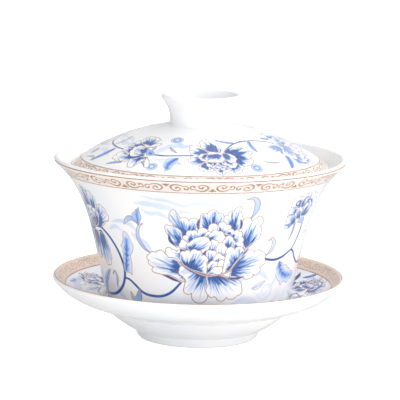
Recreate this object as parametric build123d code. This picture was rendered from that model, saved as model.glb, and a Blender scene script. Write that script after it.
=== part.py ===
from build123d import *
import math
import os

# A gaiwan: a lidded porcelain tea bowl on its saucer, each piece turned about the Z axis.
# Millimetres. The saucer's foot ring stands on Z = 0, and +Z is up.

# Driving dimensions
WALL = 2.0  # fired thickness of the bowl and the lid
RIM_WALL = 1.7  # thickness of the saucer's rim
KNOB_WALL = 1.9  # thickness of the knob's ring
SAUCER_R = 50.8  # saucer's underside where its lip begins to round
SAUCER_LIP_Z = 20.45
SAUCER_FLOOR_Z = 5.2  # top of the well's floor, which the bowl stands on
BOWL_R = 50.45  # bowl's outer wall where its lip begins to round
BOWL_LIP_Z = 62.0
LID_R = 44.75  # lid's upper surface where its edge begins to round
LID_EDGE_Z = 60.9
LID_CROWN_Z = 75.8  # where the lid's dome would meet the axis if the knob's seat weren't level
SEAT_R = 11.4  # level seat that the knob is luted to
KNOB_R = 13.7  # knob's outside where its lip begins to round
KNOB_LIP_Z = 84.0
SAUCER_FOOT_R = 20.9
SAUCER_RECESS_Z = 2.5  # underside of the saucer, inside its foot ring
BOWL_FOOT_R = 20.6
BOWL_RECESS_Z = 8.2  # underside of the bowl, inside its foot ring
FOOT_WIDTH = 2.3  # flat width of each foot ring
EDGE = 0.45  # bevel on the foot rings' corners

# The lid's two surfaces are spheres about one point of the axis.
LID_RISE = LID_CROWN_Z - LID_EDGE_Z
DOME_R = (LID_R**2 + LID_RISE**2) / (2 * LID_RISE)
SEAT_Z = LID_CROWN_Z - DOME_R + math.sqrt(DOME_R**2 - SEAT_R**2)


def across(a, b, distance):
    """The vector of one length, square to the line from a to b and to its left."""
    along = Vector(*b) - Vector(*a)
    return Vector(-along.Y, along.X).normalized() * distance


def offset_points(points, distance):
    """Points that lie a distance to the left of a smooth line through the given points."""
    ends = [points[0]] + list(points) + [points[-1]]
    return [Vector(*p) + across(before, after, distance)
            for before, p, after in zip(ends, points, ends[2:])]


def rounded_lip(a, b):
    """The half circle that closes a wall, bulging to the right of the line from a to b."""
    middle = (Vector(*a) + Vector(*b)) / 2
    out = across(a, b, -(Vector(*b) - Vector(*a)).length / 2)
    return ThreePointArc(a, middle + out, b)


def foot_ring(recess_z, bottom_z, outer_r):
    """Edges of a foot ring's section, from its recess, over the flat ring, to its outer corner."""
    inner_r = outer_r - FOOT_WIDTH - 2 * EDGE
    return Polyline(
        (0, recess_z),
        (inner_r - 2 * EDGE, recess_z),
        (inner_r, bottom_z + EDGE),
        (inner_r + EDGE, bottom_z),
        (outer_r - EDGE, bottom_z),
        (outer_r, bottom_z + EDGE),
    )


def turned(*edges):
    """One solid of revolution about Z, from the edges of its half section in X and Z."""
    return revolve(make_face([Plane.XZ * edge for edge in edges]), Axis.Z)


def saucer():
    """A dished rim, a bulged well that takes the bowl's foot, and a foot ring under the well."""
    well_low = (22.6, 3.2)
    well_high = (32.8, 10.5)
    rim_under = [well_high, (39.2, 12.7), (44.0, 14.7), (48.2, 17.6), (SAUCER_R, SAUCER_LIP_Z)]
    rim_over = [(p.X, p.Y) for p in offset_points(rim_under[1:], RIM_WALL)]
    well_edge = (33.9, 13.7)
    well_foot = (23.6, 6.2)
    floor_edge = (22.0, SAUCER_FLOOR_Z)
    return turned(
        foot_ring(SAUCER_RECESS_Z, 0, SAUCER_FOOT_R),
        Line((SAUCER_FOOT_R, EDGE), well_low),
        ThreePointArc(well_low, (28.0, 6.4), well_high),
        Spline(*rim_under),
        rounded_lip(rim_under[-1], rim_over[-1]),
        Spline(*reversed(rim_over), well_edge),
        ThreePointArc(well_edge, (29.2, 9.8), well_foot),
        ThreePointArc(well_foot, (22.9, 5.5), floor_edge),
        Line(floor_edge, (0, SAUCER_FLOOR_Z)),
        Line((0, SAUCER_FLOOR_Z), (0, SAUCER_RECESS_Z)),
    )


def bowl():
    """A deep cup with a flared mouth, standing in the saucer's well on its own foot ring."""
    foot_top = (BOWL_FOOT_R, 8.3)
    wall_out = [
        foot_top,
        (26.2, 10.0),
        (30.4, 12.6),
        (32.6, 17.0),
        (34.4, 24.0),
        (35.9, 31.0),
        (37.6, 38.0),
        (39.3, 44.0),
        (42.0, 50.6),
        (45.0, 55.9),
        (48.0, 59.6),
        (BOWL_R, BOWL_LIP_Z),
    ]
    wall_in = [(p.X, p.Y) for p in offset_points(wall_out, WALL)]
    floor_middle = (0, wall_in[1][1] - 1)
    return turned(
        foot_ring(BOWL_RECESS_Z, SAUCER_FLOOR_Z, BOWL_FOOT_R),
        Line((BOWL_FOOT_R, SAUCER_FLOOR_Z + EDGE), foot_top),
        Spline(*wall_out),
        rounded_lip(wall_out[-1], wall_in[-1]),
        Spline(*reversed(wall_in[1:]), floor_middle, tangents=[(-1, -1), (-1, 0)]),
        Line(floor_middle, (0, BOWL_RECESS_Z)),
    )


def dome_point(depth, r):
    """A point of the lid's section that lies a depth below its upper sphere, a radius r out."""
    return (r, LID_CROWN_Z - DOME_R + math.sqrt((DOME_R - depth)**2 - r**2))


def lid():
    """A shallow dome that drops inside the bowl's flare, with a level seat for the knob."""
    edge_out = dome_point(0, LID_R)
    edge_in = dome_point(WALL, LID_R * (1 - WALL / DOME_R))
    return turned(
        Line((0, SEAT_Z), (SEAT_R, SEAT_Z)),
        ThreePointArc((SEAT_R, SEAT_Z), dome_point(0, LID_R / 2), edge_out),
        rounded_lip(edge_in, edge_out),
        ThreePointArc(edge_in, dome_point(WALL, LID_R / 2), dome_point(WALL, 0)),
        Line(dome_point(WALL, 0), (0, SEAT_Z)),
    )


def lid_knob():
    """A waisted ring, luted to the lid's crown, that flares to a round lip and is open on top."""
    wall_out = [(11.1, SEAT_Z), (10.8, 76.9), (11.0, 78.8), (11.8, 81.2), (KNOB_R, KNOB_LIP_Z)]
    wall_in = [(p.X, p.Y) for p in offset_points(wall_out[1:], KNOB_WALL)]
    floor_edge = (8.5, SEAT_Z)
    return turned(
        Line(floor_edge, wall_out[0]),
        Spline(*wall_out),
        rounded_lip(wall_out[-1], wall_in[-1]),
        Spline(*reversed(wall_in), floor_edge),
    )


os.makedirs("parts", exist_ok=True)
for piece in (saucer, bowl, lid, lid_knob):
    export_step(piece(), f"parts/{piece.__name__}.step")
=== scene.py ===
import math

import bpy
import numpy as np
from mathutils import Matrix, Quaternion, Vector


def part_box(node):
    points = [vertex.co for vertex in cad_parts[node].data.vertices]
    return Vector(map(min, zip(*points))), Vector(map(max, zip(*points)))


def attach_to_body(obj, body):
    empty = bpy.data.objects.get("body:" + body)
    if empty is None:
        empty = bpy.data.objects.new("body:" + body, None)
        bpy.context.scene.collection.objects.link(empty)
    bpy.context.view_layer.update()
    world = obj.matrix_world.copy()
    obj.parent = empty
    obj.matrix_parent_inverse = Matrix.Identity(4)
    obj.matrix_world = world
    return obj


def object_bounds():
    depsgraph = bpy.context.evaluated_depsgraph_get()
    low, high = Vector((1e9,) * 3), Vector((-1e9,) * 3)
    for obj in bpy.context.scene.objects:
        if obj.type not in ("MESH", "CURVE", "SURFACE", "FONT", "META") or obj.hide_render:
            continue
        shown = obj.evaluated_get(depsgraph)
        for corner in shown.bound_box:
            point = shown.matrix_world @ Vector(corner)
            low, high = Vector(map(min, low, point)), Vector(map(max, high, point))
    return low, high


# The looks of a covered tea bowl: glazed white porcelain painted with a peony scroll in cobalt and gold.
# The porcelain shapes are the frame's own. This script lays thin painted skins and gilt lines on them,
# gives everything its material, and sets the floor, the light and the camera.

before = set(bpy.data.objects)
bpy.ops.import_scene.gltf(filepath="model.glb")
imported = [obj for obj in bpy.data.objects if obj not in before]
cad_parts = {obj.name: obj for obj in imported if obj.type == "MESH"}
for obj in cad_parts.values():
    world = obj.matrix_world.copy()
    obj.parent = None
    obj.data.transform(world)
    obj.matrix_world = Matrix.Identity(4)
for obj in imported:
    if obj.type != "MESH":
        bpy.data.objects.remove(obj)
CAD_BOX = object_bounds()

MM = 0.001


# ------------------------------------------------------------------ painting tools
# The decoration is painted on fine grids that lie on the porcelain. Lengths here are millimetres.
GRID = 0.15          # spacing of the grid under the flowers
BAND_GRID = 0.12     # and under the scroll bands
SOFT = 0.10          # width over which an edge fades
GOLD_WIDTH = 0.27    # a petal's outline
NAVY = 0.97          # the ink of stems and of dark undersides
FAINT_TONE = 0.26    # the ink of a petal's longest strokes
MID_TONE = 0.58      # and of its middling ones
ARC_STEPS = 7        # straight pieces in each arc of an outline


def smoothstep(low, high, value):
    """0 below low, 1 above high, and a smooth ramp between."""
    t = np.clip((value - low) / (high - low), 0, 1)
    return t * t * (3 - 2 * t)


def line(gap, width):
    """A line of a width, given how far each point lies from its middle."""
    return smoothstep(SOFT / 2, -SOFT / 2, np.abs(gap) - width / 2)


def noise(position, seed):
    """Smooth random values from 0 to 1 along one coordinate, one knot for each whole number."""
    knots = np.random.default_rng(seed).random(512)
    cell = np.floor(position).astype(int)
    t = position - cell
    t = t * t * (3 - 2 * t)
    return knots[cell % 512] * (1 - t) + knots[(cell + 1) % 512] * t


def spread(share, values):
    """Values given at equal steps of a path, read at each share of the way along it."""
    return np.interp(share, np.linspace(0, 1, len(values)), values)


def curve(points, steps=8):
    """A smooth line through the points."""
    p = np.asarray(points, float)
    p = np.vstack([2 * p[0] - p[1], p, 2 * p[-1] - p[-2]])
    t = np.linspace(0, 1, steps, endpoint=False)[:, None]
    spans = []
    for a, b, c, d in zip(p[:-3], p[1:-2], p[2:-1], p[3:]):
        bend = t * (a - 2.5 * b + 2 * c - d / 2 + t * (1.5 * (b - c) + (d - a) / 2))
        spans.append(b + t * ((c - a) / 2 + bend))
    return np.vstack([*spans, p[-2][None]])


def scalloped(corners):
    """A closed outline, clockwise, of (x, y, bulge) corners: each span is an arc that bulges outwards by
    that share of its length."""
    spans = []
    for (ax, ay, bulge), (bx, by, _) in zip(corners, corners[1:] + corners[:1]):
        t = np.linspace(0, 1, ARC_STEPS, endpoint=False)
        if abs(bulge) < 0.01:
            t = t[:1]
            across, along = 0 * t, t
        else:
            half = 2 * math.atan(2 * bulge)
            swing = half * (2 * t - 1)
            along = 0.5 + np.sin(swing) / (2 * math.sin(half))
            across = (np.cos(swing) - math.cos(half)) / (2 * math.sin(half))
        dx, dy = bx - ax, by - ay
        spans.append(np.stack([ax + dx * along - dy * across, ay + dy * along + dx * across], -1))
    return np.vstack(spans)


def span_distance(x, y, ax, ay, dx, dy):
    """Each point's squared distance from a straight span, and the share of the span at its nearest point."""
    t = np.clip(((x - ax) * dx + (y - ay) * dy) / max(dx * dx + dy * dy, 1e-12), 0, 1)
    return (x - ax - t * dx) ** 2 + (y - ay - t * dy) ** 2, t


def path_distance(x, y, path):
    """Each point's distance from an open path, and the share of the path, 0 to 1, at its nearest point."""
    lengths = np.hypot(*np.diff(path, axis=0).T)
    ends = np.concatenate([[0], np.cumsum(lengths)]) / max(lengths.sum(), 1e-9)
    best, share = np.full(x.shape, 1e9), np.zeros(x.shape)
    for (ax, ay), (bx, by), start, end in zip(path[:-1], path[1:], ends[:-1], ends[1:]):
        gap, t = span_distance(x, y, ax, ay, bx - ax, by - ay)
        nearer = gap < best
        best = np.where(nearer, gap, best)
        share = np.where(nearer, start + t * (end - start), share)
    return np.sqrt(best), share


def outline_depth(x, y, outline):
    """How deep each point lies inside a closed outline; negative outside it."""
    best, inside = np.full(x.shape, 1e9), np.zeros(x.shape, bool)
    for (ax, ay), (bx, by) in zip(outline, np.roll(outline, -1, 0)):
        dx, dy = bx - ax, by - ay
        best = np.minimum(best, span_distance(x, y, ax, ay, dx, dy)[0])
        if ay != by:
            inside ^= ((ay > y) != (by > y)) & (x < ax + (y - ay) * dx / dy)
    return np.where(inside, 1, -1) * np.sqrt(best)


def ray_reach(centre, outline, angles):
    """The nearest and farthest crossing of the outline, along a ray from the centre at each angle."""
    a = outline - centre
    d = np.roll(a, -1, 0) - a
    rx, ry = np.cos(angles)[:, None], np.sin(angles)[:, None]
    cross = rx * d[:, 1] - ry * d[:, 0]
    cross = np.where(np.abs(cross) < 1e-9, 1e-9, cross)
    along = (a[:, 0] * d[:, 1] - a[:, 1] * d[:, 0]) / cross
    share = (a[:, 0] * ry - a[:, 1] * rx) / cross
    hit = (share >= 0) & (share < 1) & (along > 0)
    near = np.where(hit, along, 1e9).min(1)
    near = np.where(hit.sum(1) % 2 == 1, 0, near)
    return np.where(hit.any(1), near, 0), np.where(hit, along, 0).max(1)


class Canvas:
    """Pigment on a turned wall. Rows go along its profile, columns once round one repeat of the pattern."""

    def __init__(self, wall, low, high, repeats, spacing=GRID):
        self.along = np.arange(low, high + spacing / 2, spacing)
        self.radius = np.interp(self.along, wall.s, wall.points[:, 0])
        self.repeats, self.turn = repeats, 2 * math.pi / repeats
        self.columns = int(round(self.turn * self.radius.max() / GRID))
        self.step = self.turn / self.columns
        self.ink, self.azure, self.gold, self.cream = np.zeros((4, len(self.along), self.columns))

    def gild(self, where, amount):
        """Lays gold on part of the canvas, where it is more than what is there."""
        self.gold[where] = np.maximum(self.gold[where], amount)


class Brush:
    """Paints a motif at an angle round the wall and a place along it, turned, sized and squashed."""

    def __init__(self, canvas, theta, s, turn=0.0, size=1.0, squash=1.0):
        self.canvas, self.theta, self.s = canvas, math.radians(theta), s
        cosine, sine = math.cos(math.radians(turn)), math.sin(math.radians(turn))
        self.frame = size * np.array([[cosine, sine], [-sine, cosine]])
        self.stretch = np.array([1, squash])
        self.size = math.sqrt(abs(np.linalg.det(self.frame)))

    def at(self, points):
        """Motif points on the wall, x round it and y along it, from the motif's own place."""
        return (np.asarray(points, float) * self.stretch) @ self.frame

    def outline(self, corners):
        return scalloped([(x, y, c[2]) for (x, y), c in zip(self.at([c[:2] for c in corners]), corners)])

    def window(self, points, pad):
        """The part of the canvas round these points: where it is, and each grid point's x and y there."""
        canvas = self.canvas
        low, high = points.min(0) - pad, points.max(0) + pad
        rows = np.flatnonzero((canvas.along > self.s + low[1]) & (canvas.along < self.s + high[1]))
        r = canvas.radius[rows]
        first = self.theta + min(low[0] / r.min(), low[0] / r.max())
        last = self.theta + max(high[0] / r.min(), high[0] / r.max())
        columns = np.arange(math.floor(first / canvas.step), math.ceil(last / canvas.step) + 1)
        x = (columns * canvas.step - self.theta)[None, :] * r[:, None]
        y = np.broadcast_to((canvas.along[rows] - self.s)[:, None], x.shape)
        return np.ix_(rows, columns % canvas.columns), x, y

    def near(self, path, pad):
        """The part of the canvas round a path, and each point's distance from it and place along it."""
        where, x, y = self.window(path, pad)
        return where, *path_distance(x, y, path)

    def lay(self, where, strength, cover, azure=0.0):
        """Brushes ink of this strength over what is there: cobalt, or as much azure as given."""
        canvas = self.canvas
        canvas.ink[where] += (strength - canvas.ink[where]) * cover
        canvas.azure[where] += (azure - canvas.azure[where]) * cover
        canvas.gold[where] *= 1 - cover

    def gild(self, path, width=GOLD_WIDTH):
        """A thin gold line along a path on the wall."""
        where, gap, _ = self.near(path, 1)
        self.canvas.gild(where, line(gap, width))

    def petal(self, corners, fan, reach, seed=0, stroke=0.42, margin=0.7, gold=GOLD_WIDTH, start=0.0,
              solid=0.38, gilt=0.85, ink=1.0):
        """A white petal with a gold outline, and ink strokes that fan out over it from one point.
        The strokes begin at the petal's near edge, or where the next row's petals end, start mm from the
        point. A solid of 1 makes all the dark strokes equally long, so that they run together; gilt is how
        strong the outline is."""
        outline = self.outline(corners)
        where, x, y = self.window(outline, 0.6)
        depth = outline_depth(x, y, outline)
        fx, fy = self.at([fan])[0]
        middle = outline.mean(0)
        facing = math.atan2(middle[1] - fy, middle[0] - fx)
        bearing = (np.arctan2(y - fy, x - fx) - facing + math.pi) % (2 * math.pi) - math.pi
        angles = np.linspace(-math.pi, math.pi, 181)
        reaches = ray_reach(np.array([fx, fy]), outline, angles + facing)
        near, far = (np.interp(bearing, angles, r) for r in reaches)
        near = np.maximum(near, start)
        share = (np.hypot(x - fx, y - fy) - near) / np.maximum(far - near, 0.3)
        across = bearing * np.hypot(middle[0] - fx, middle[1] - fy) / stroke
        length = reach * (0.75 + 0.5 * noise(across / 4, seed + 12))
        dark = length * (solid + (1 - solid) * noise(across, seed + 11) ** 1.5)
        mid = length * (0.50 + 0.95 * noise(across * 1.5 + 9, seed + 13) ** 1.7)
        faint = length * (0.75 + 0.85 * noise(across * 1.1 + 40, seed + 14) ** 1.5)
        tone = ink * (0.84 + 0.16 * noise(across * 0.8 + 7, seed + 15))
        strokes = FAINT_TONE * smoothstep(0.16, -0.10, share - faint)
        strokes = np.maximum(strokes, MID_TONE * smoothstep(0.13, -0.09, share - mid))
        strokes = np.maximum(strokes, tone * smoothstep(0.10, -0.08, share - dark))
        strokes *= smoothstep(0, margin, depth)
        self.lay(where, strokes, smoothstep(-SOFT, SOFT / 2, depth))
        self.canvas.gild(where, gilt * line(depth, gold))

    def ribbon(self, points, widths, ink=0.9, end_ink=None, gold=0.0, azure=0.0, grain=0.0, seed=0):
        """A brush stroke along the points, as wide at each as given; its ink may change on the way."""
        where, gap, share = self.near(curve(self.at(points)), max(widths) + 0.6)
        width = spread(share, widths)
        strength = ink if end_ink is None else ink + (end_ink - ink) * share
        if grain:
            strength = strength * (1 - grain * noise(share * 9 + gap * 3, seed))
        self.lay(where, strength, smoothstep(SOFT, -SOFT, gap - width / 2), azure)
        if gold:
            self.canvas.gild(where, line(gap - width / 2, gold))

    def wash(self, points, widths, ink=0.14, seed=0):
        """A pale watercolour stroke with a ragged edge, under everything painted later."""
        path = curve(self.at(points))
        where, gap, share = self.near(path, max(widths) + 1)
        length = np.hypot(*np.diff(path, axis=0).T).sum()
        width = spread(share, widths) * (0.72 + 0.5 * noise(share * length / 1.6, seed + 1))
        streak = 0.75 + 0.45 * noise(gap * 2.2 + share * length / 5, seed + 2)
        layer = ink * streak * smoothstep(0.35, -0.25, gap - width / 2)
        self.canvas.ink[where] = np.maximum(self.canvas.ink[where], layer)
        self.canvas.azure[where] = np.where(layer > 0, 1, self.canvas.azure[where])

    def leaf(self, base, tip, half_width, bend=0.0, teeth=0, **tones):
        """A pointed leaf between two points, its edge cut into teeth."""
        base, tip = np.asarray(base, float), np.asarray(tip, float)
        axis = tip - base
        side = np.array([-axis[1], axis[0]]) / np.hypot(*axis)
        t = np.linspace(0, 1, 41)
        rib = base + t[:, None] * axis + (4 * t * (1 - t) * bend)[:, None] * side
        width = half_width * 1.75 * t ** 0.5 * (1 - t) ** 0.85
        if teeth:
            width = width * (0.82 + 0.36 * ((t * teeth) % 1))
        normal = np.gradient(rib, axis=0)
        normal = np.stack([-normal[:, 1], normal[:, 0]], -1) / np.hypot(*normal.T)[:, None]
        edge = [rib + normal * width[:, None], (rib - normal * width[:, None])[-2:0:-1]]
        self.blade(self.at(np.vstack(edge)), rib[2:36], half_width, **tones)

    def frond(self, corners, rib, half_width, **tones):
        """A leaf of a given outline about a given midrib."""
        self.blade(self.outline(corners), curve(rib), half_width, **tones)

    def blade(self, outline, rib, half_width, veins=4, ink=0.52, edge=0.16, seed=0):
        """Fills a leaf, darker along its branching midrib than at the rim, and gives it a gold edge."""
        where, x, y = self.window(outline, 0.6)
        depth = outline_depth(x, y, outline)
        gap, share = path_distance(x, y, self.at(rib))
        core = np.exp(-(2.1 * gap / (half_width * self.size)) ** 2)
        core = core * (0.72 + 0.5 * noise(share * 14 + gap * 1.5, seed))
        self.lay(where, edge + (ink - edge) * core, smoothstep(-SOFT, SOFT / 2, depth), azure=1.0)
        self.canvas.gild(where, 0.8 * line(depth, 0.2))
        dark = min(ink + 0.3, 0.9)
        self.ribbon(rib, [0.5, 0.42, 0.3, 0.1], ink=dark, azure=0.8, grain=0.2, seed=seed)
        along = np.gradient(rib, axis=0)
        along /= np.hypot(*along.T)[:, None]
        for n in range(veins):
            at = int((0.12 + 0.7 * n / veins) * len(rib))
            for way in (1, -1):
                out = 0.55 * along[at] + 0.6 * way * np.array([-along[at][1], along[at][0]])
                end = rib[at] + out * half_width
                self.ribbon([rib[at], (rib[at] + end) / 2, end], [0.34, 0.26, 0.06], ink=dark, azure=0.85)


# ------------------------------------------------------------------ the large peony of the bowl
# A petal is its fan point, how far its strokes reach and its outline, which goes clockwise through
# (x, y, bulge) corners, in mm from the flower's own place.
OUTER_PETALS = [
    # the five tall petals behind, three at the sides and two below; the third value is a stroke's width
    ((-7, 4.2), .72, .42, [(-9, 5, 0), (-12.6, 11, .2), (-13.6, 13.3, .15), (-13.3, 15.6, .5),
     (-11.5, 15.3, .06), (-9.9, 12.8, .35), (-7, 11.9, .35), (-3.9, 12.5, .05), (-3.9, 8, 0)]),
    ((1, 5.6), .7, .42, [(-3.3, 8, 0), (-3.2, 14.2, .35), (-.9, 14.8, .5), (2.8, 15, .3),
     (4.7, 13.9, .15), (4.9, 12, 0), (4.5, 9.5, 0)]),
    ((7.6, 5.6), .68, .42, [(4.8, 9, 0), (4.8, 13.6, .3), (6.1, 14.3, .35), (8.3, 16, .25),
     (9.1, 17.4, .5), (10.7, 17, .2), (10.2, 15.5, .3), (11.1, 13.8, .1), (10.9, 9.5, 0), (8.4, 7.2, 0)]),
    ((11.4, -1), .72, .5, [(11.2, 4, 0), (11.3, 11.2, .2), (12.7, 13.1, .2), (14.3, 12.5, .05),
     (14.9, 11.4, .1), (16.6, 12.9, .35), (18.8, 12.2, .25), (17.8, 9.5, .2), (18.4, 6.2, .2),
     (16.9, 4.1, .05), (12.7, .8, 0)]),
    ((-7, .5), .72, .42, [(-8.6, 2.4, 0), (-10.8, 1.8, .05), (-13.4, 5.6, .05), (-15.1, 9, .35),
     (-13.6, 9.9, .1), (-11.6, 9.4, .15), (-9, 7, 0)]),
    ((-7, -2), .35, .42, [(-9, -3.8, 0), (-13.5, -2, .25), (-14.4, .2, .5), (-12.4, 1, .2),
     (-10.7, .2, .2), (-8.4, .8, 0)]),
    ((-4.6, -7.4), .6, .5, [(-7.6, -10.9, 0), (-12.5, -8.6, .04), (-18.5, -8.1, .4), (-18.5, -6.2, .05),
     (-20.4, -5.2, .3), (-20.4, -3.9, .35), (-20.6, -1.6, .2), (-17.9, -.6, .35), (-14.6, -.9, .1),
     (-13.4, -2.2, .15), (-10, -3, 0), (-8, -6, 0)]),
    ((4.2, -6.9), .62, .55, [(8, -5.6, 0), (10.5, -2.6, 0), (13.4, -.2, .2), (15.3, .5, .25),
     (16.3, -.4, .3), (19.3, -.6, .35), (20.9, -3.4, .3), (20.2, -5.7, .1), (18.8, -6.2, .25),
     (18.9, -8.1, .3), (16.4, -8.6, .3), (15.4, -9.9, .2), (12.6, -9.5, .05), (7.6, -9, 0)]),
    ((-.4, -4.4), .62, .5, [(1, -7.6, 0), (.3, -12, 0), (.4, -15.8, .5), (-5.1, -15.9, .1),
     (-5, -14.8, .45), (-7.7, -12.9, .05), (-7.1, -10.4, -.05), (-9, -8.4, .25), (-9.6, -6.6, .35),
     (-7.6, -5.1, .1), (-5, -5.5, 0)]),
    ((.2, -5.2), .62, .5, [(4.6, -8, 0), (9.6, -10, .25), (12.1, -13.2, .3), (10.6, -16.2, .25),
     (6.7, -16.6, .4), (3.2, -16.4, .1), (2.6, -16, .3), (.6, -15.6, .2), (.1, -12.3, 0), (-.5, -8.2, 0)]),
]
INNER_PETALS = [
    # the ruffles round the heart; the third value is how solid the strokes are
    ((-6, -1), .5, .38, [(-6.8, .4, 0), (-9.3, 1.4, .25), (-9.5, 3.8, .4), (-7.6, 4.6, .2),
     (-6.6, 2.5, 0)]),
    ((-3.4, -1.5), .5, .38, [(-6.4, 3.4, 0), (-8.5, 4.8, .4), (-7.6, 6.5, .35), (-5.7, 8.3, .3),
     (-3.8, 7.4, .4), (-1, 9, .3), (-.6, 6.4, 0), (-3.5, 5, 0)]),
    ((1.5, 6.2), .42, .38, [(-.5, 6.6, 0), (-.3, 9.5, .45), (2.9, 10.1, .1), (3.1, 7.4, 0)]),
    ((3.8, 6.4), .5, .38, [(2.7, 7.6, 0), (2.9, 10.3, .5), (5.7, 10.6, .35), (7.4, 8.7, .1), (6, 6.6, 0)]),
    ((5.2, 2.2), .5, .38, [(5.8, 6.6, .1), (6.2, 8.1, .4), (8.6, 7.9, .35), (10.4, 7.7, .4),
     (11.2, 5.8, .3), (11.7, 3.6, .35), (11, 1.2, 0), (8.8, .8, 0), (8.2, 4.6, -.2)]),
    ((6.4, -1.2), .72, .6, [(4.4, .6, 0), (4.7, 4.8, .3), (6, 6.1, .3), (8.5, 4.6, .35), (8.7, 2.4, .2),
     (7.2, -.4, 0)]),
    ((-3, 3.4), .6, .6, [(-1.2, 3.2, 0), (-1.9, 5.2, .2), (-1.3, 6.8, .35), (.8, 7.6, .35),
     (3.2, 8.1, .3), (5, 6.8, .3), (4.8, 4.6, .1), (3.4, 2.4, 0)]),
    ((.9, -1.8), .6, .38, [(.2, -1, 0), (-.9, 1.2, .15), (-.8, 3.2, .3), (.6, 4.3, .35), (2.3, 4.6, .3),
     (3.5, 3.2, .3), (3.4, .8, .1), (3.2, -1.4, 0)]),
    ((4.6, -3.2), .5, .38, [(2.9, -1.6, 0), (2.6, .8, .1), (3.1, 3, .3), (4.4, 3.7, .3), (5.6, 2.6, .3),
     (6, 0, .1), (6.2, -2.4, 0)]),
    ((-8, -1.2), .58, .38, [(-6.2, .4, 0), (-7.4, 2, .2), (-6.4, 3.9, .12), (-1.9, 6.1, .25),
     (.3, 4.6, .35), (.4, 2.4, .2), (-1, .8, 0), (-2.4, -.8, 0)]),
    ((.3, -5), .55, .38, [(-.7, -4.2, 0), (-.7, -.6, .4), (1.3, .9, .35), (2.8, -.6, .3), (1.8, -3.2, 0)]),
    ((2.6, -5), .42, .38, [(1.2, -3.6, 0), (2.5, -.9, .4), (4.7, -.9, .35), (5.5, -2.8, .2),
     (4, -4.2, 0)]),
    ((-1.6, -9.4), .52, .38, [(-1.6, -7.6, 0), (-.6, -5.2, .2), (.4, -4, .3), (2.6, -3.1, .35),
     (3.7, -4.6, .3), (1.8, -7.4, 0)]),
    ((3.6, -8.4), .3, .38, [(3, -5.6, 0), (3.6, -3.2, .4), (5.7, -3.4, .3), (5.8, -6, .1),
     (4.8, -7.6, 0)]),
    ((-.6, -9), .35, .38, [(-.6, -8, 0), (1.4, -6.1, .25), (3.4, -5.2, .4), (5.1, -5.9, .3),
     (4.8, -7.3, .2), (3, -8.2, 0)]),
    ((10.4, -8.6), .5, .38, [(4.9, -8, 0), (5.5, -3.6, .05), (6.2, -.6, .2), (6.3, 1.2, .4),
     (9, .9, .4), (12.3, .9, .3), (11.6, -1, .05), (9.2, -4.6, .08), (7.4, -7, .05)]),
    ((-6.8, -9.2), .6, .38, [(-7.6, -5.2, .1), (-8.9, -3.6, .15), (-9.4, -1.2, .35), (-7.9, .5, .35),
     (-6, .2, .35), (-3.6, .9, .35), (-2.2, -1, .3), (-.8, -1.2, .3), (-.4, -3.6, .05), (-.4, -7.9, 0),
     (-4.5, -6.6, .06)]),
]
INNER_SEEDS = [*range(20, 27), 36, 37, *range(27, 35)]
HEART = [(-8.5, -5, .1), (-9.2, 2, .1), (-4, 7.5, .1), (4, 10, .1), (9.5, 7.5, .1), (11, 1.5, .1),
         (7, -7, .1), (0, -8.2, .1)]
FOLDS = [
    # dark undersides of the petals' turned edges: points, greatest width
    ([(-13.7, 6.7), (-13, 4.4), (-11.9, 3.1), (-10.8, 2.1)], 1),
    ([(-3.4, 13.1), (-3.85, 11), (-3.6, 8.2)], .75),
    ([(10.6, 12.7), (11, 10.5), (10.4, 8.2)], .8),
    ([(-15.4, -8.8), (-13.4, -9.2), (-11, -10.2), (-8.4, -11.1)], .85),
    ([(7, -9.3), (9.6, -9.7), (12.9, -9.2)], .85),
    ([(11.2, -2.2), (12.7, -.4), (14.5, 1.6)], .6),
]
CUP_EDGE = [(-8.2, -4.6), (-6, -6), (-3, -7.6), (0, -8.5), (2.5, -8.3), (5, -7.8), (7.4, -6.7), (9, -4.6),
            (10.4, -2.7), (13, .5), (14.9, 2.8)]
CUP_FOLD = [(3.4, -8), (5.2, -9.1), (7.2, -9.8), (10, -10)]


def great_peony(canvas, theta, s):
    """The open flower that faces the drinker: tall petals behind, ruffles inside, broad petals below."""
    brush = Brush(canvas, theta, s)
    for n, (fan, reach, stroke, corners) in enumerate(OUTER_PETALS):
        brush.petal(corners, fan, reach, n + 1, stroke)
    for points, width in FOLDS[:5]:
        brush.ribbon(points, [0, width * .9, width * 1.1, width * .8, 0], ink=NAVY, gold=.14)
    heart = brush.outline(HEART)
    where, x, y = brush.window(heart, 1)
    brush.lay(where, .88, smoothstep(-SOFT, SOFT, outline_depth(x, y, heart)))
    for seed, (fan, reach, solid, corners) in zip(INNER_SEEDS, INNER_PETALS):
        brush.petal(corners, fan, reach, seed, .36, .55, solid=solid)
    edge = curve(brush.at(CUP_EDGE))
    brush.gild(edge, .62)
    where, gap, _ = brush.near(edge, 1)
    inside = smoothstep(.12 + SOFT / 2, .12 - SOFT / 2, gap)
    canvas.gold[where] *= 1 - .8 * inside
    canvas.ink[where] *= 1 - .9 * inside
    brush.gild(curve(brush.at(CUP_FOLD)))
    points, width = FOLDS[5]
    brush.ribbon(points, [0, width, 0], ink=NAVY)


# ------------------------------------------------------------------ smaller flowers
def paint_petals(brush, petals, seed, stroke=.34, margin=.45, gold=.24, **how):
    """Paints a list of petals, each a fan point, how far its strokes reach, and an outline."""
    for n, (fan, reach, corners) in enumerate(petals):
        brush.petal(corners, fan, reach, seed + n, stroke, margin, gold, gilt=.9, **how)


def bearings(count, fanned):
    """The bearings in degrees of some petals fanned evenly over an angle."""
    return [(n / (count - 1) - .5) * fanned for n in range(count)]


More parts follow.
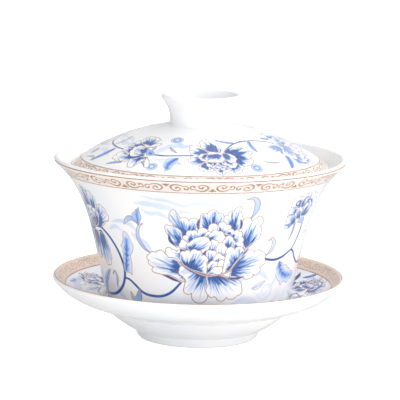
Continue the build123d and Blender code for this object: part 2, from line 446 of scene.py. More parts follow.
def fan_petal(brush, base, bearing, length, width, lobes, seed, reach=.6, covered=0, ink=1):
    """One scalloped petal from a base point, its rim cut into rounded lobes; covered is how much of its
    length the petals in front hide."""
    turn = math.radians(bearing)
    along, side = np.array([math.sin(turn), math.cos(turn)]), np.array([math.cos(turn), -math.sin(turn)])
    base = np.asarray(base, float)
    wobble = np.random.default_rng(seed).random(lobes + 1)
    corners = [(*(base - side * width * .12), .12)]
    for n in range(lobes + 1):
        swing = 2 * n / lobes - 1
        out = length * (.92 - .26 * swing ** 2 + .10 * (wobble[n] - .5))
        corners.append((*(base + along * out + side * width * .5 * swing), .38 if n < lobes else .12))
    corners.append((*(base + side * width * .12), 0))
    brush.petal(corners, tuple(base - along * length * .25), reach, seed, .34, .4, .22,
                start=length * (.25 + covered) * brush.size, gilt=.75, ink=ink)


def side_peony(brush, size, ink, seed):
    """A flower seen from the side, its calyx at the motif's place and its petals fanned above that."""
    rows = ((5, 156, 1, .52, 3, .66), (5, 128, .78, .44, 3, .6), (4, 92, .58, .4, 2, .55),
            (3, 56, .4, .34, 2, 0))
    for row, (count, fanned, length, width, lobes, covered) in enumerate(rows):
        for n, bearing in enumerate(bearings(count, fanned)):
            fan_petal(brush, (0, size * .04 * row), bearing, size * length, size * width, lobes,
                      seed + row * 10 + n, .62, covered, ink)
    for bearing in (-112, 108):
        fan_petal(brush, (0, size * .05), bearing, size * .62, size * .42, 3, seed + 50 + bearing % 7,
                  ink=ink)
    for bend, x, y in ((.6, -.3, .28), (-.6, .32, .22), (.1, .02, .34)):
        brush.leaf((0, -.04 * size), (x * size, y * size), size * .07, bend, ink=.36, edge=.2, veins=0)


LEFT_PETALS = [
    # from the middle of the bowl's left side
    ((-19, 8.5), 1, [(-22, 14, 0), (-23.4, 21.4, .2), (-21.4, 25.6, .35), (-18.6, 26.4, .35),
     (-16.4, 24.4, .3), (-16.2, 20, .15), (-17.5, 13, 0)]),
    ((-17.5, 10.5), .82, [(-18, 12, 0), (-17.6, 19.6, .1), (-17, 23.4, .3), (-15.2, 25.2, .35),
     (-13.4, 23.9, .35), (-12.6, 21.2, .3), (-13.6, 17, .1), (-15.4, 12, 0)]),
    ((-17.6, 12.5), .85, [(-17, 9, 0), (-15.4, 4, .1), (-16.4, .6, .25), (-19, -1, .35),
     (-22.4, 1.4, .35), (-22.6, 6, .2), (-20, 10, 0)]),
    ((-16.4, 12), .8, [(-15.4, 9.6, 0), (-12.5, 8.6, .15), (-10.9, 5.6, .2), (-10.2, 2, .25),
     (-10.5, -.7, .3), (-12.4, -2.6, .35), (-14.4, -1.5, .25), (-15.6, .2, .25), (-16.4, 3.5, .1),
     (-16.6, 7, 0)]),
    ((-18.6, 9.4), .66, [(-15.6, 11.2, 0), (-14.4, 15.4, .1), (-13.2, 18, .25), (-11.2, 20.2, .35),
     (-9.2, 19.7, .35), (-7.9, 17.7, .3), (-7.3, 15.4, .3), (-9.5, 14.3, .15), (-12, 12.1, .1),
     (-14, 10.9, 0)]),
]


def left_flower(brush):
    """A flower turned to the left round the bowl, one petal lifted to the right and one hanging."""
    for n, bearing in enumerate((-150, -112, -76, -44)):
        fan_petal(brush, (-20, 10.5), bearing, 12, 9, 4, 200 + n, .85, .3)
    paint_petals(brush, LEFT_PETALS, 210, .36, .6, .26, solid=.5)
    for row, (count, fanned, length) in enumerate(((5, 120, 8.6), (4, 84, 5.8), (3, 50, 3.6))):
        for n, bearing in enumerate(bearings(count, fanned)):
            fan_petal(brush, (-18.4, 10.8 + row * .5), -30 + bearing, length, length * .5, 2,
                      220 + row * 10 + n, .8, .42)


RIGHT_PETALS = [
    # from the middle of the bowl's right side
    ((4.6, 11), .6, [(3.2, 16, 0), (1.6, 18.4, .1), (1.8, 20.8, .3), (4.2, 22.2, .3), (7.4, 21.6, .3),
     (10.2, 19.6, .35), (11.4, 17, .35), (9.6, 15.4, .1), (6.8, 15, 0)]),
    ((2.8, 12.4), .74, [(1.6, 15.4, 0), (.2, 17.4, .1), (.6, 20, .3), (-.2, 21.8, .35), (1.4, 22.6, .3),
     (2.6, 21.2, .3), (2.8, 18.8, .1), (3.2, 16, 0)]),
    ((2.5, 14.5), .6, [(.6, 15.4, 0), (-1.4, 16.4, .2), (-3.2, 17.2, .3), (-4.6, 18.8, .35),
     (-3.6, 20.8, .35), (-1.6, 21.4, .3), (0, 20.2, .2), (.8, 18, .1)]),
    ((2.6, 14.2), .74, [(.8, 13.2, 0), (-1.4, 13.4, .1), (-3.6, 13.2, .3), (-4.2, 14.8, .35),
     (-3.4, 16.4, .3), (-1.6, 16.6, .3), (.8, 15.6, .1)]),
    ((3.2, 10.4), .78, [(1.8, 10.6, 0), (-.6, 9.4, .2), (-2.6, 8.8, .3), (-3.8, 10, .35),
     (-3.4, 11.6, .3), (-4, 13, .3), (-2, 13.6, .3), (.4, 13, .1)]),
    ((5.6, 9.5), .76, [(6, 12.4, 0), (3.4, 12.6, .1), (2.8, 14.8, .3), (4, 16.6, .35), (6.4, 17.4, .35),
     (9, 16.6, .35), (9.6, 14.4, .3), (8.4, 12.8, .1)]),
    ((4.4, 9.8), .74, [(4.2, 11.6, 0), (2, 11.8, .1), (.6, 13.2, .3), (-.2, 15.2, .35), (1, 16.6, .35),
     (2.8, 16, .3), (3.6, 14, .1)]),
]


def right_flower(brush):
    """A flower seen from the side, low on its stem, that turns away to the right."""
    brush.ribbon([(7.4, 9), (7.2, 6.6), (5.8, 3), (4, .3)], [1, .95, .8, .7], ink=.9)
    paint_petals(brush, RIGHT_PETALS, 100, solid=.3)
    angles = np.linspace(0, 2 * math.pi, 9)
    brush.ribbon(np.stack([-1.2 + 1.1 * np.cos(angles), 18.7 + np.sin(angles)], -1), [.6, .6], ink=.85)
    brush.ribbon([(2, 16.4), (1.7, 18.4), (2, 20.3), (4, 20.8)], [.3, .8, .8, .2], ink=.85)
    brush.ribbon([(5, 19.4), (7.4, 18.8), (9.2, 17.2)], [.2, .9, .3], ink=.8)
    brush.ribbon([(3.3, 10.6), (5.2, 10.9), (6.8, 10.6), (7.5, 9)], [.6, 1.9, 2.4, .9], ink=.36, gold=.2,
                 azure=1)
    brush.ribbon([(1.6, 10), (1.8, 8), (1.3, 6), (.5, 4.4)], [1.2, 1.2, .9, .3], ink=.5, gold=.2, azure=.4)


# ------------------------------------------------------------------ stems, leaves and clouds
def degrees_path(canvas, points):
    """A brush at the middle of a list of (degrees, s) points, and the points as x and y from there."""
    p = np.asarray(points, float)
    theta = p[:, 0].mean()
    radius = np.interp(p[:, 1], canvas.along, canvas.radius)
    return Brush(canvas, theta, 0), np.stack([np.radians(p[:, 0] - theta) * radius, p[:, 1]], -1)


def vine(canvas, points, widths, ink=NAVY):
    """A stem painted in one dark stroke."""
    brush, path = degrees_path(canvas, points)
    brush.ribbon(path, widths, ink=ink, grain=.06)


def curl(canvas, points, widths, ink=.3, end_ink=.5):
    """A bract or tendril: a tapered blue stroke with a thin gold edge."""
    brush, path = degrees_path(canvas, points)
    brush.ribbon(path, widths, ink=ink, end_ink=end_ink, gold=.26, azure=1)


def blade(canvas, base, tip, half_width, **how):
    """A leaf given by the (degrees, s) places of its base and tip."""
    brush, path = degrees_path(canvas, [base, tip])
    brush.leaf(path[0], path[1], half_width, **how)


def clouds(canvas, seed, strokes):
    """Pale cloud strokes: (degrees, s) points, widths and, where it isn't the usual, the ink."""
    for n, (points, widths, *ink) in enumerate(strokes):
        brush, path = degrees_path(canvas, points)
        brush.wash(path, widths, ink[0] if ink else .13, seed + n)


def swirl(canvas, theta, s, radius, width, seed, start=0, ink=.13):
    """A cloud that curls in on itself."""
    t = np.linspace(0, 1, 14)
    angle = math.radians(start) + 1.4 * 2 * math.pi * t
    r = radius * (1 - .78 * t)
    path = np.stack([r * np.cos(angle), r * np.sin(angle)], -1)
    Brush(canvas, theta, s).wash(path, [width, width, width * .6], ink, seed)


def bead(canvas, theta, s, radius):
    """A small round blue berry: a pale disc with a darker ring and a light eye."""
    brush = Brush(canvas, theta, s)
    for size, ink, gold in ((1, .2, .22), (.72, .46, 0), (.36, .16, 0)):
        ring = scalloped([(radius * size * math.cos(a), -radius * size * math.sin(a), .2)
                          for a in np.linspace(0, 2 * math.pi, 6, endpoint=False)])
        where, x, y = brush.window(ring, .6)
        depth = outline_depth(x, y, ring)
        brush.lay(where, ink, smoothstep(-SOFT, SOFT, depth), azure=1)
        if gold:
            canvas.gild(where, .9 * line(depth, gold))


# ------------------------------------------------------------------ the bowl
BOWL_CLOUDS = [
    ([(-27, 57.4), (-21, 56.5), (-15, 56), (-8, 54), (-3, 55.2), (5, 55), (13, 56.4)],
     [.3, 1.1, 1.8, 1.2, 1.5, .9, .2]),
    ([(-31, 54), (-24, 54), (-18, 53.4), (-10, 52.2)], [.4, 2.7, 2.6, .5]),
    ([(-28, 51.4), (-25, 50.2), (-20, 50.3), (-15, 48.6)], [.3, 1.6, 1.8, .4]),
    ([(-14, 50.5), (-9, 51.5), (-4, 51.2)], [.5, 2, .5]),
    ([(-49, 44.6), (-43, 45.6), (-37, 44.8), (-33, 42)], [.3, 1.6, 1.8, .3]),
    ([(-53, 41.5), (-47, 43), (-42, 41.2)], [.3, 1.6, .3]),
    ([(-37, 41.5), (-33, 39.5), (-28, 37.5), (-26, 35)], [.5, 2.2, 1.6, .3]),
    ([(-56, 23), (-54, 18.5), (-49, 15.5), (-42, 14.4), (-36, 15.5)], [.3, 1.8, 1.4, 1.2, .3]),
    ([(-34, 14.5), (-25, 14.2), (-15, 14.8)], [.4, 1.4, .3]),
    ([(24, 54), (29, 51.5), (35, 50.3), (43, 50.6)], [.3, 1.2, 1.4, .3]),
    ([(27, 49.5), (31, 46.8), (30, 43)], [.6, 2.6, .4]),
    ([(20, 23.5), (25, 27), (31, 28.5), (37, 27), (42, 24.6)], [.5, 2.4, 2.6, 2, .4]),
    ([(18, 16.5), (25, 18.2), (31, 17.6), (38, 15), (47, 15.2), (54, 17.5)],
     [.4, 1.8, 2.4, 2, 1.6, .4], .1),
    ([(45, 21.5), (49, 26), (46, 29.2)], [.5, 1.8, .3]),
    ([(64, 37), (70, 39.5), (78, 38.5)], [.4, 1.8, .3]),
    ([(66, 18), (76, 15.5), (88, 17), (96, 20)], [.4, 1.8, 1.6, .4]),
    ([(72, 55.5), (80, 54), (88, 55.6), (97, 55)], [.3, 1.5, 1, .3]),
    ([(78, 47), (84, 49.5), (90, 48)], [.4, 2.2, .3]),
]


def paint_bowl(canvas):
    """Half the bowl's wall: a great peony on its vine, a smaller flower each side, leaves and clouds."""
    clouds(canvas, 1, BOWL_CLOUDS[:14])
    clouds(canvas, 16, BOWL_CLOUDS[14:])
    swirl(canvas, 41.5, 20.5, 3.6, seed=15, width=1.5, start=200, ink=.075)
    swirl(canvas, 83, 42, 3, seed=20, width=1.2)
    # vines
    vine(canvas, [(-60.2, 41), (-54.2, 38.2), (-49.4, 34), (-46.6, 29), (-46.8, 25), (-50, 21),
                  (-56.6, 17.8), (-65, 16.2), (-75, 16), (-85, 18.5), (-95, 24), (-106, 28.5)],
         (1, 1.1, 1.05, 1, .9, .8, .6), ink=1)
    vine(canvas, [(-47, 24.2), (-43.2, 23.8), (-39.4, 22.2), (-34.6, 19.9), (-29, 19.1), (-22, 19.4),
                  (-16, 21.3), (-10.6, 24.9)], (.7, .95, 1, .95, .9, .7))
    left, right = Brush(canvas, -41, 30), Brush(canvas, 51.5, 34)
    right.ribbon([(-13, .4), (-11.2, -.2), (-8.8, -1.5), (-4.6, -2.3), (-1, -1.8), (1.8, -.7), (4, .3)],
                 [.4, .8, .9, .9, .7], ink=NAVY)
    right.ribbon([(4, .3), (6, -.9), (8, -3.2), (10.4, -5.1), (12.5, -6), (15.4, -6.2), (18, -5.6)],
                 [.7, .85, .8, .6, .4], ink=NAVY)
    left_flower(left)
    left.ribbon([(-17, 10.6), (-14.6, 11.2), (-12.4, 10.6)], [.3, .9, .6], ink=1)
    left.ribbon([(-16.6, 9.2), (-14.2, 9.6), (-12.2, 8.4)], [.2, .7, .2], ink=1)
    # the small bud on its tendril, upper left of the great peony
    left.ribbon([(8.1, 15.7), (6.5, 14.6), (5.4, 12.4), (5.2, 10), (6, 8), (7.4, 6.2), (9.2, 5)],
                [.2, .8, 1.2, 1.3, 1.2, .9, .2], ink=.14, end_ink=.42, gold=.2, azure=1)
    left.ribbon([(.2, 14.6), (2.1, 16.7), (4.1, 17.4), (5.7, 16.3), (6.2, 15.2)], [.2, 1.2, 1.8, 1.5, .3],
                ink=.18, end_ink=.44, gold=.2, azure=1)
    left.frond([(5.2, 17, 0), (4.8, 18.5, .1), (5.2, 19.4, .1), (6.4, 20, 0), (7.1, 21.2, -.05),
                (8.6, 22.2, 0), (8.2, 20.6, 0), (8.4, 18.8, .1), (7.6, 16.9, .05), (6.3, 15, 0)],
               [(6.3, 15.8), (6.6, 17.2), (6.8, 19), (7.7, 21)], 2.2, veins=0, ink=.4, edge=.2)
    # leaves left
    left.frond([(-3.2, -3.6, 0), (-3.4, -1, 0), (-2.9, 2.5, .05), (-2.6, 4.8, 0), (-3.4, 6, -.1),
                (-2.6, 6.9, 0), (-1.7, 8.5, .05), (-1.3, 10.8, .1), (-.6, 11.7, .1), (.9, 10.9, 0),
                (1.4, 9.2, 0), (2.3, 7.4, .1), (2.2, 5.8, .1), (1.2, 3.9, -.05), (.5, 2.7, 0), (.7, .2, 0),
                (.3, -2.4, 0), (.1, -4.4, -.1), (-1.2, -3.6, 0)],
               [(-2.4, -2.8), (-1.6, 1), (-.9, 4.5), (-.2, 8.6)], 2.1, ink=.5, edge=.13, seed=31)
    curl(canvas, [(-44, 19.2), (-42.8, 17.3), (-40.4, 16.6), (-38, 17.8), (-36.7, 21)],
         [.3, 1.6, 2.4, 2, .3], ink=.2, end_ink=.45)
    curl(canvas, [(-58.4, 24.4), (-56, 25.6), (-54.2, 23.4), (-55.6, 20.3)], [.2, .8, 1, .2], ink=.2,
         end_ink=.4)
    blade(canvas, (-77, 14.6), (-60.4, 25.8), 2.3, bend=.9, teeth=2, seed=33)
    # leaves right
    curl(canvas, [(19.8, 56.9), (22.6, 57.3), (25, 55.2), (25.5, 52), (24, 48.6)], [.3, 1.4, 2.1, 1.7, .4],
         ink=.15, end_ink=.34)
    curl(canvas, [(37.2, 39.4), (39.2, 40), (41.1, 38.2), (40.3, 35.6), (37.4, 34)], [.3, 1.2, 1.7, 1.2, .2],
         ink=.14, end_ink=.26)
    right.frond([(-12.2, -11.9, 0), (-11, -10.8, .05), (-9.4, -10.2, .1), (-6.9, -9.8, 0), (-8.2, -11.2, 0),
                 (-9.2, -12.2, .1), (-11, -12.5, .1)],
                [(-11.6, -11.9), (-9.6, -11.2), (-7.4, -10.2)], 1.2, veins=0, ink=.12, edge=.05)
    right.frond([(-1.8, -3.2, 0), (.8, -4.4, .05), (1.2, -5, 0), (3.2, -5.4, .1), (4.2, -6.4, 0),
                 (5.8, -7, .1), (6.8, -8.2, 0), (9.2, -8.6, .1), (10.6, -9.8, .1), (9.6, -11, .1),
                 (7.6, -11.2, 0), (6.4, -12.3, .1), (4.2, -11.6, 0), (2.6, -11.4, 0), (1.9, -12.9, 0),
                 (.4, -10.8, .1), (-1, -9.9, 0), (-2.2, -8.4, .1), (-2, -6.9, 0), (-2.6, -5.4, .05)],
                [(-1.6, -3.6), (-.4, -6.2), (1.8, -8.4), (5, -9.5), (8.5, -9.9)], 2.4, ink=.48, edge=.12,
                seed=35)
    # the flower on the right
    right_flower(Brush(canvas, 51.8, 34))
    # the far side of the repeat
    blade(canvas, (83, 20.5), (86.5, 36), 3, bend=.8, teeth=3, seed=36)
    curl(canvas, [(75, 29), (79, 31.6), (83.5, 31), (86, 27.5)], [.3, 1.3, 1.6, .2], ink=.26, end_ink=.5)
    curl(canvas, [(88, 54.5), (91, 52.5), (92, 49), (90, 46)], [.3, 1.6, 1.5, .2], ink=.24, end_ink=.5)
    blade(canvas, (95, 27.5), (99, 41.5), 2.6, bend=-.7, teeth=3, seed=37)
    great_peony(canvas, 3.9, 36)


# ------------------------------------------------------------------ the lid
LID_CLOUDS = [
    ([(-30, 23), (-24, 17.5), (-16, 15.5), (-6, 16)], [.5, 2.4, 2.2, .4]),
    ([(-29, 25.5), (-22, 25), (-14, 27), (-8, 26)], [.5, 2, 1.6, .3]),
    ([(24, 19), (32, 20.5), (40, 18), (48, 20)], [.4, 2.2, 2, .4]),
    ([(-78, 27), (-72, 24.5), (-60, 26.5)], [.4, 1.8, .4]),
    ([(-76, 15.5), (-66, 15), (-56, 17)], [.4, 2, .4]),
    ([(26, 26.5), (36, 27.5), (46, 25.6)], [.3, 1.4, .3]),
    ([(88, 18), (96, 15), (104, 17.5)], [.4, 2, .4]),
    ([(-17, 13.6), (-13, 16), (-6, 15)], [1.4, 2.8, .6], .16),
    ([(-72, 17.4), (-60, 18.6), (-50, 17)], [.4, 2.2, .4], .16),
    ([(-96, 20), (-86, 23), (-76, 22)], [.4, 2.4, .4], .16),
    ([(-52, 12.6), (-42, 11.8), (-33, 13)], [.4, 1.6, .3], .16),
    ([(62, 9.6), (74, 10.6), (86, 9.8)], [.4, 1.6, .3], .15),
]
LID_PETALS = [
    ((-1.2, -1.5), .62, [(.2, -4.4, 0), (.4, -7, .1), (.5, -10, .1), (.4, -12.6, .3), (-.8, -13.8, .35),
     (-2.8, -13.2, .35), (-4.6, -12, .3), (-5, -9.6, .3), (-4.6, -7.2, .15), (-3.2, -5, 0)]),
    ((-2.2, -2.8), .72, [(-3.4, -4.6, 0), (-5, -6.8, .15), (-6.2, -8.4, .3), (-8.2, -9, .35),
     (-9, -7.4, .3), (-9.4, -5.6, .3), (-9.8, -3.9, .3), (-8, -3.2, .15), (-5, -3.2, 0)]),
    ((-3.2, -1.4), .72, [(-5.4, -2.6, 0), (-7.6, -3.2, .15), (-9.2, -2.4, .3), (-10, -.4, .35),
     (-11.2, .4, .35), (-10.6, 1.4, .3), (-8.6, 2.3, .3), (-6.6, 1.6, .15), (-5.4, .2, 0)]),
    ((-3.4, .2), .68, [(-6, .8, 0), (-7, 2.2, .2), (-8.2, 4, .3), (-7.2, 5.6, .4), (-5.4, 5.8, .35),
     (-3.6, 5.2, .3), (-3.2, 3.6, 0)]),
    ((-.6, 1.8), .72, [(-3.4, 3.8, 0), (-2.8, 6.2, .2), (-1.9, 7.4, .4), (-.2, 7.2, .2), (.4, 6.4, .35),
     (2, 5.6, .3), (1.8, 3.8, 0)]),
    ((1.6, .4), .64, [(2, 3.2, 0), (2.4, 5, .2), (3, 6.6, .4), (5.2, 6.8, .35), (6, 5.2, .3),
     (7, 4.4, .3), (6.2, 3, .25), (4.8, 1.8, 0)]),
    ((-.6, -2.6), .76, [(4.6, 1.2, 0), (5.4, 2.6, .1), (6.8, 3.3, .3), (8.8, 3.2, .35), (10.4, 2.6, .2),
     (11.2, 1.4, .3), (10.2, -.2, .3), (10.8, -2.2, .1), (12, -3.4, .3), (10.6, -4.6, .3),
     (9.4, -6.2, .35), (7, -6.8, .3), (4.6, -7.2, .2), (2.6, -5.8, .1), (1.6, -4.4, 0)]),
    ((-3.4, -.6), .45, [(-4.8, .4, 0), (-5.4, 2.2, .35), (-4.4, 3.6, .35), (-3, 3.4, .3), (-2.4, 1.4, 0)]),
    ((-2.6, -2.6), .62, [(-3.2, -3.6, 0), (-5.4, -3.9, .2), (-6.8, -2.8, .35), (-7.1, -.8, .3),
     (-5.6, .4, .35), (-4.6, -.6, 0)]),
    ((1, -1.6), .66, [(.8, -.2, 0), (.9, 1.6, .2), (1.8, 3.2, .35), (3.2, 4.2, .35), (4.4, 3.4, .3),
     (4.8, 1.8, .3), (4.4, .8, 0), (2.4, .4, 0)]),
    ((-.8, -5), .7, [(1, -4, 0), (.6, -2.4, 0), (1.2, -.6, .1), (2.2, .8, .3), (3.8, 1.4, .35),
     (4.9, .4, .3), (5.2, -1.2, .2), (4.2, -2.8, .2), (2.6, -3.8, .1)]),
    ((-1.2, -5.2), .66, [(-.6, -3.9, 0), (-2.6, -3.6, .2), (-4.6, -2, .25), (-5, 0, .3), (-4, 1, .35),
     (-2.6, .5, .35), (-1.2, .9, .35), (.4, .3, .35), (.9, -1.4, .2), (.2, -3.4, 0)]),
]
LID_HEART = [(-3.7, 4.2, -30), (-2.1, 4.6, -10), (-.4, 4.3, 5), (1, 3.6, 20), (-3.1, 3.1, -30),
             (-1.6, 3.3, 0), (.1, 2.9, 10), (-2.3, 2, -20), (-.8, 1.9, 10), (.3, 1.6, 20)]
LID_SIDE_PETALS = [
    # seen from the side: the calyx is at the right, and the petals open to the left
    ((4, 1.5), .3, [(5, 3.2, 0), (7, 5.4, .05), (8.4, 7.6, .2), (9.9, 8.5, .3), (9.6, 6.8, .1),
     (7.6, 4.4, .05), (6, 2.8, 0)]),
    ((3.6, 1), .68, [(.4, 4.4, 0), (1.2, 6.6, .15), (2.2, 8.4, .3), (3.7, 9.2, .35), (4.9, 8.2, .3),
     (4.9, 6.8, .1), (6, 5.6, .3), (6, 4, .1), (4.6, 3, 0)]),
    ((2.4, 3.6), .5, [(.6, 3.6, 0), (-2.4, 3.2, .1), (-5, 2.2, .15), (-7.2, 2.8, .35), (-6.8, 4.4, .3),
     (-7.6, 5.6, .3), (-6, 6.6, .35), (-3.8, 6, .3), (-1.6, 6.6, .35), (.6, 5.6, .2)]),
    ((2.4, -1.4), .66, [(.5, -3, 0), (-1.6, -4.8, .1), (-3.8, -5.8, .3), (-5.4, -4.8, .35),
     (-5.8, -3, .35), (-5, -1.8, .2), (-2, -1.4, 0)]),
    ((2.4, -.2), .6, [(-1, -1.6, 0), (-3.6, -2, .1), (-6.2, -2, .35), (-6.6, -.4, .35), (-6.8, 1, .35),
     (-5, 1.8, .3), (-2, 1.2, 0)]),
    ((3.8, -.6), .2, [(4.2, -2.6, 0), (5.2, -4.2, .1), (5.6, -5.6, .3), (4, -5.4, .3), (2.8, -4, .1),
     (2.6, -2.6, 0)]),
    ((2.4, -1.6), .66, [(2.6, -3.6, 0), (3.2, -5.6, .15), (2.8, -7.6, .2), (1.4, -9.4, .35),
     (-.4, -9.2, .3), (-1.8, -9.8, .35), (-3.2, -8.6, .3), (-3.8, -6.6, .3), (-2.8, -5, .2),
     (-.6, -4.2, 0)]),
    ((5.6, .4), .5, [(3.2, .4, 0), (1.6, -2.4, .1), (-.6, -3, .3), (-2.2, -2, .35), (-2.6, 0, .3),
     (-2.2, 1.8, .3), (-1, 3.6, .35), (1, 4.4, .35), (3.4, 3.6, .3), (4.6, 2.4, 0)]),
    ((5.6, 0), .8, [(4, -.8, 0), (2.4, -2.6, .1), (.4, -2.4, .3), (-.8, -1, .35), (-.6, .8, .35),
     (1, 1.6, .3), (3.2, 1.4, .2)]),
]


def open_flower(brush, seed):
    """A small open peony: its painted petals, then the tight ones at its heart."""
    paint_petals(brush, LID_PETALS, seed, solid=.72)
    for n, (x, y, bearing) in enumerate(LID_HEART):
        fan_petal(brush, (x, y - .8), bearing, 1.9, 1.7, 1, seed + 20 + n, reach=.8)


def lid_peony(canvas, theta, s):
    """The open flower at the front of the lid, on a stem that runs off to the right."""
    brush = Brush(canvas, theta, s)
    brush.ribbon([(1.8, -5.2), (3.8, -7.6), (6, -9.7), (8.4, -10.8), (11, -11.3)], [.3, .6, .7, .7],
                 ink=.85)
    open_flower(brush, 400)
    brush.ribbon([(.5, -4.5), (.9, -6), (.8, -7.6)], [.2, .5, .1], ink=.9)
    brush.ribbon([(2.2, -5), (3.4, -6.4), (5.2, -7)], [.2, .5, .1], ink=.9)


def lid_side_peony(canvas, theta, s):
    """A flower on the lid seen from the side, its blue calyx towards the front flower."""
    brush = Brush(canvas, theta, s)
    paint_petals(brush, LID_SIDE_PETALS, 330, solid=.5)
    brush.ribbon([(-1.8, 2.6), (-.6, 4.1), (1.4, 4.1), (3.2, 3.1), (4.4, 2.2)], [.3, 1.1, 1.2, 1.1, .3],
                 ink=NAVY)
    brush.ribbon([(3.4, -1.2), (4.6, -.2), (6, .9), (7.6, 1.4)], [.8, 2.2, 2.6, .6], ink=.34, gold=.2,
                 azure=1)
    brush.ribbon([(5, .2), (6, .9), (6.8, 1.3)], [.4, 1.2, .4], ink=.62, azure=1)
    brush.ribbon([(5.2, -.6), (5.2, -2.2), (4.4, -4)], [.8, .9, .2], ink=.3, gold=.2, azure=1)


def paint_lid(canvas):
    """Half the lid's top: three flowers on a vine, their tops to the rim."""
    clouds(canvas, 41, LID_CLOUDS)
    vine(canvas, [(-92, 16), (-80, 20), (-65, 21.5), (-53, 21.8)], (.5, .6, .6, .5))
    curl(canvas, [(-84, 19.6), (-88, 23.4), (-95, 25)], [.3, 1.3, .2], ink=.4, end_ink=.2)
    curl(canvas, [(-70, 21.2), (-67, 17.4), (-70, 14)], [.3, 1.1, .2], ink=.4, end_ink=.2)
    curl(canvas, [(-78, 30.6), (-71, 29.4), (-66, 30.8)], [.2, .8, .2], ink=.3, end_ink=.2)
    vine(canvas, [(-29, 22.3), (-22, 22.4), (-15, 22), (-4, 21.3)], (.7, .65, .6))
    vine(canvas, [(33, 12.9), (38, 12.8), (47, 13.2), (58, 15), (64, 18)], (.7, .6, .55))
    front = Brush(canvas, 12, 24)
    front.frond([(-14.2, -.9, 0), (-16.4, -.6, .1), (-18.6, .2, .1), (-19, 1.6, 0), (-20.4, 3.4, .1),
                 (-20, 5.4, 0), (-20.4, 6.8, 0), (-18.8, 5.8, .1), (-17.6, 4.4, .1), (-17, 2.9, 0),
                 (-15.8, 2.2, 0), (-14, 2.6, -.1), (-15, 1.2, 0)],
                [(-14.8, -.5), (-16.6, 1), (-18.4, 2.9), (-19.4, 5)], 1.8, veins=0, ink=.6, edge=.15,
                seed=51)
    blade(canvas, (27, 13.6), (11.5, 10.4), 1.1, bend=-.6, ink=.5, seed=52, veins=0)
    blade(canvas, (42, 13.4), (38.6, 20.8), 1.2, bend=.7, ink=.5, seed=53, veins=0)
    blade(canvas, (57, 24.5), (50, 31.2), 1.6, bend=-.7, ink=.6, edge=.28, seed=54, veins=0)
    blade(canvas, (-62.5, 22.3), (-69, 31.4), 1.8, bend=-.9, ink=.6, edge=.28, seed=55, veins=0)
    blade(canvas, (-44, 28.4), (-53, 30.8), .9, bend=.4, ink=.4, seed=56, veins=0)
    blade(canvas, (59, 12.6), (81, 14.8), 1.5, bend=.8, ink=.5, seed=57, veins=0)
    curl(canvas, [(-15, 20.2), (-18, 19), (-21.5, 17)], [.2, .9, .2], ink=.2, end_ink=.35)
    curl(canvas, [(37, 26), (41, 27), (46, 27.4)], [.2, .7, .15], ink=.2, end_ink=.35)
    curl(canvas, [(-35, 25.5), (-31, 27.4), (-28.6, 29.4)], [.2, .9, .2], ink=.3, end_ink=.5)
    for theta, s, radius in ((-25, 28.7, 1.8), (-20, 11.7, 2), (29.6, 29, 1.8), (100, 27, 1.6)):
        bead(canvas, theta, s, radius)
    fan_petal(Brush(canvas, 63, 19.4), (0, 0), -70, 6.4, 6, 3, 301, reach=.85, ink=.66)
    side_peony(Brush(canvas, 66.5, 21, turn=-66), 12, .74, 310)
    lid_side_peony(canvas, -42, 21)
    lid_peony(canvas, 12, 24)


